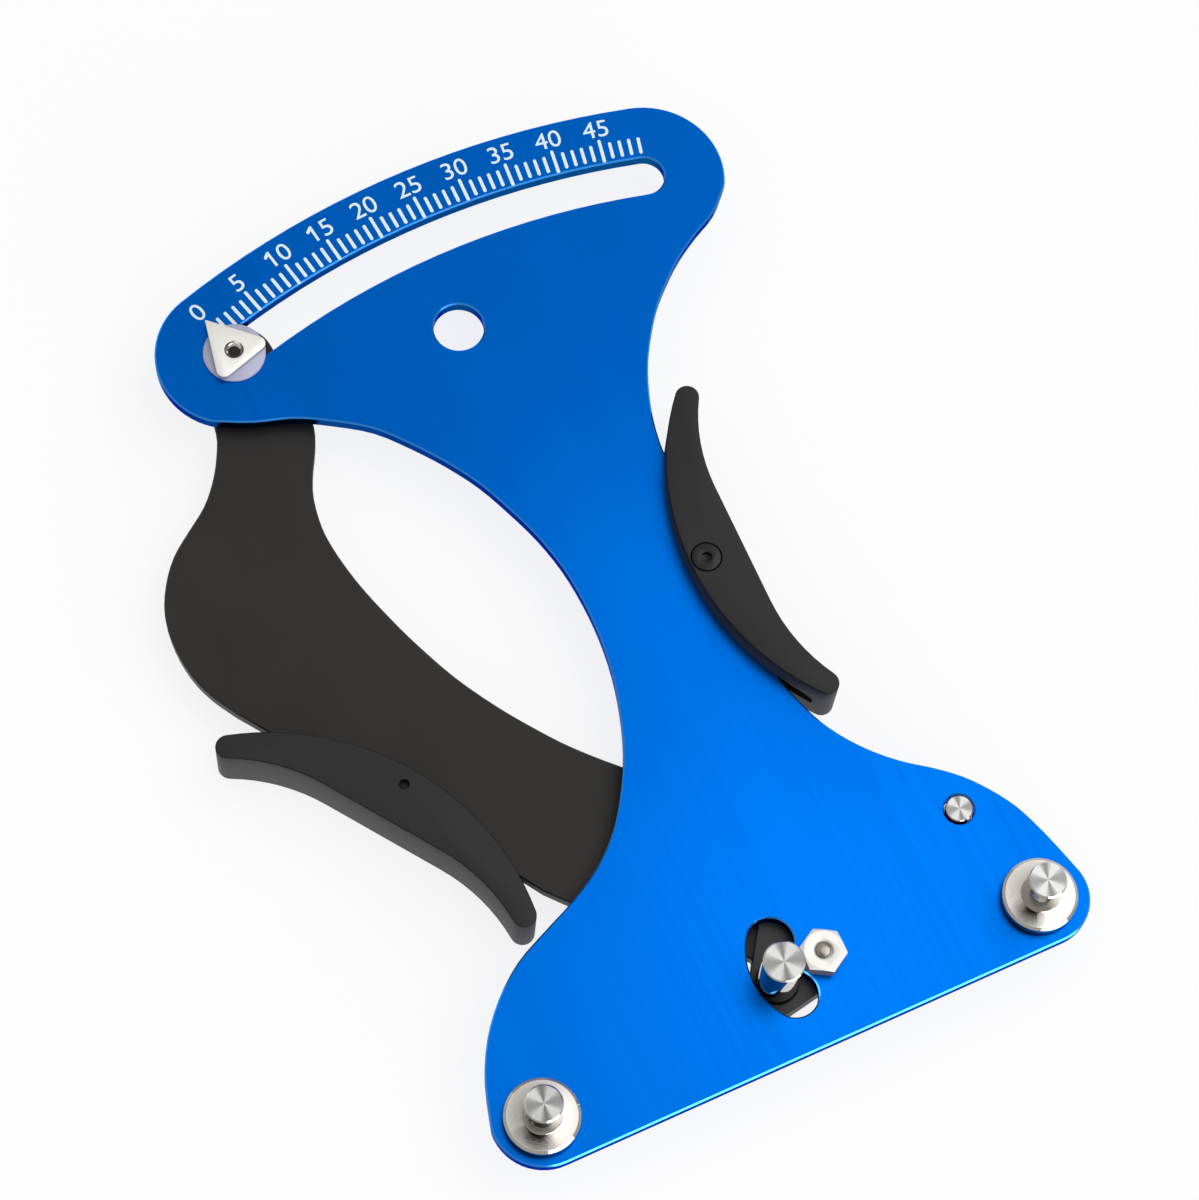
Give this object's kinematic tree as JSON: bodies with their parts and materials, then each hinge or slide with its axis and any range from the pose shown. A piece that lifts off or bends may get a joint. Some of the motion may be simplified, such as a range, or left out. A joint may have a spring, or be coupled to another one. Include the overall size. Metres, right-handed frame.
{
  "type": "spoke tension meter",
  "caption": "Hand tool that measures spoke tension: a face plate with posts and a curved scale slot, and a sprung lever behind it with a post, grip and pointer.",
  "frame": {"origin": "on the pivot axis, at the outer face of the pivot bolt's head, which is one of the feet that the tool lies on", "axes": "+X along the straight bottom edge towards the spring, +Y from the pivot towards the scale, +Z out of the printed face"},
  "size_m": [0.1444, 0.2001, 0.0237],
  "materials": {
    "blue_anodised": "satin blue anodising",
    "black_anodised": "satin black anodising",
    "black_moulded": "smooth matt moulding",
    "slide_plastic": "matt",
    "turned_steel": "turned, with ring marks on the ends",
    "nickel_plate": "plated, slightly warm",
    "black_screw": "black oxide",
    "pale_washer": "translucent",
    "bush_brass": "machined",
    "spring_steel": "drawn wire"
  },
  "bodies": {
    "frame": {"face_plate": "blue_anodised", "fixed_post_left": "turned_steel", "fixed_post_screw_left": "black_screw", "fixed_post_right": "turned_steel", "fixed_post_screw_right": "black_screw", "pivot_bolt": "nickel_plate", "pivot_washer": "nickel_plate", "pivot_bush": "bush_brass", "pivot_nut": "nickel_plate", "spring_anchor_pin": "turned_steel", "right_grip": "black_moulded", "right_grip_screw": "black_screw", "return_spring": "spring_steel"},
    "lever": {"lever_plate": "black_anodised", "slide_plate": "slide_plastic", "moving_post": "turned_steel", "moving_post_screw": "black_screw", "left_grip": "black_moulded", "left_grip_screw": "black_screw", "pointer_sleeve": "nickel_plate", "pointer_washer": "pale_washer", "pointer": "nickel_plate", "pointer_screw": "black_screw", "pointer_lock_washer": "nickel_plate", "pointer_lock_nut": "nickel_plate", "spring_lever_pin": "turned_steel"}
  },
  "joints": [
    {"name": "lever_pivot", "type": "hinge", "parent": "frame", "child": "lever", "pos_m": [0, 0, 0.00625], "axis": [0, 0, 1], "range_deg": [-32, 0], "stiffness_Nm_per_rad": 1.04, "springref_deg": 12.03, "deforming": ["return_spring"]}
  ]
}
